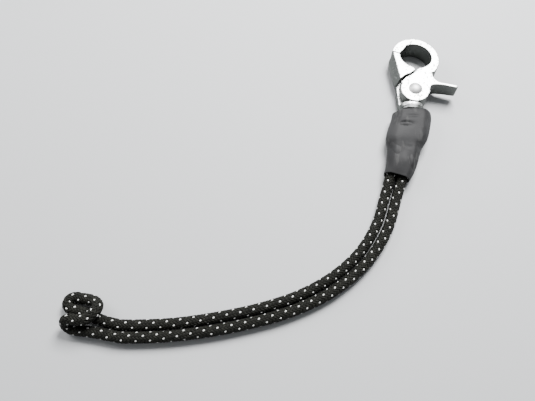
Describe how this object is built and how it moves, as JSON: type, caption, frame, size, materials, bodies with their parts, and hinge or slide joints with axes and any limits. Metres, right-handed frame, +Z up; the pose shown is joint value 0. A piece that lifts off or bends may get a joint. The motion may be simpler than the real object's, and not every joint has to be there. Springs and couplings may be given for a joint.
{
  "type": "lanyard",
  "caption": "Doubled braided cord lanyard with a shrunk sleeve and a swivelling spring-closed trigger snap.",
  "frame": {"origin": "on the table below the middle of the snap and sleeve taken together, the free cord left out", "axes": "+Y along the snap's long axis towards its ring, +X towards the trigger's tip, +Z up from the table"},
  "size_m": [0.162, 0.1512, 0.0108],
  "materials": {
    "casting": "satin nickel plate on a zinc casting",
    "casting_jaw": "satin nickel plate on a zinc casting",
    "rivet": "plain steel, burnished head",
    "spring_wire": "drawn spring steel",
    "swivel": "nickel plate",
    "sleeve": "matt heat-shrunk polyolefin",
    "cord": "braided dark filament yarn with light tracer strands"
  },
  "bodies": {
    "tether": {"shrink_sleeve": "sleeve", "swivel_eye": "swivel", "cord_loop": "cord", "cord_turn_left": "cord", "cord_turn_right": "cord"},
    "snap": {"snap_body": "casting", "pivot_rivet": "rivet", "trigger_spring": "spring_wire"},
    "jaw": {"trigger_jaw": "casting_jaw"}
  },
  "joints": [
    {"name": "snap_swivel", "type": "hinge", "parent": "tether", "child": "snap", "pos_m": [-0.0041, -0.0005, 0.0047], "axis": [0, 1, 0], "continuous": true},
    {"name": "trigger_pivot", "type": "hinge", "parent": "snap", "child": "jaw", "pos_m": [-0.0029, 0.0077, 0.0047], "axis": [0, 0, -1], "range_deg": [0, 28], "stiffness_Nm_per_rad": 0.06, "springref_deg": -40.11}
  ]
}
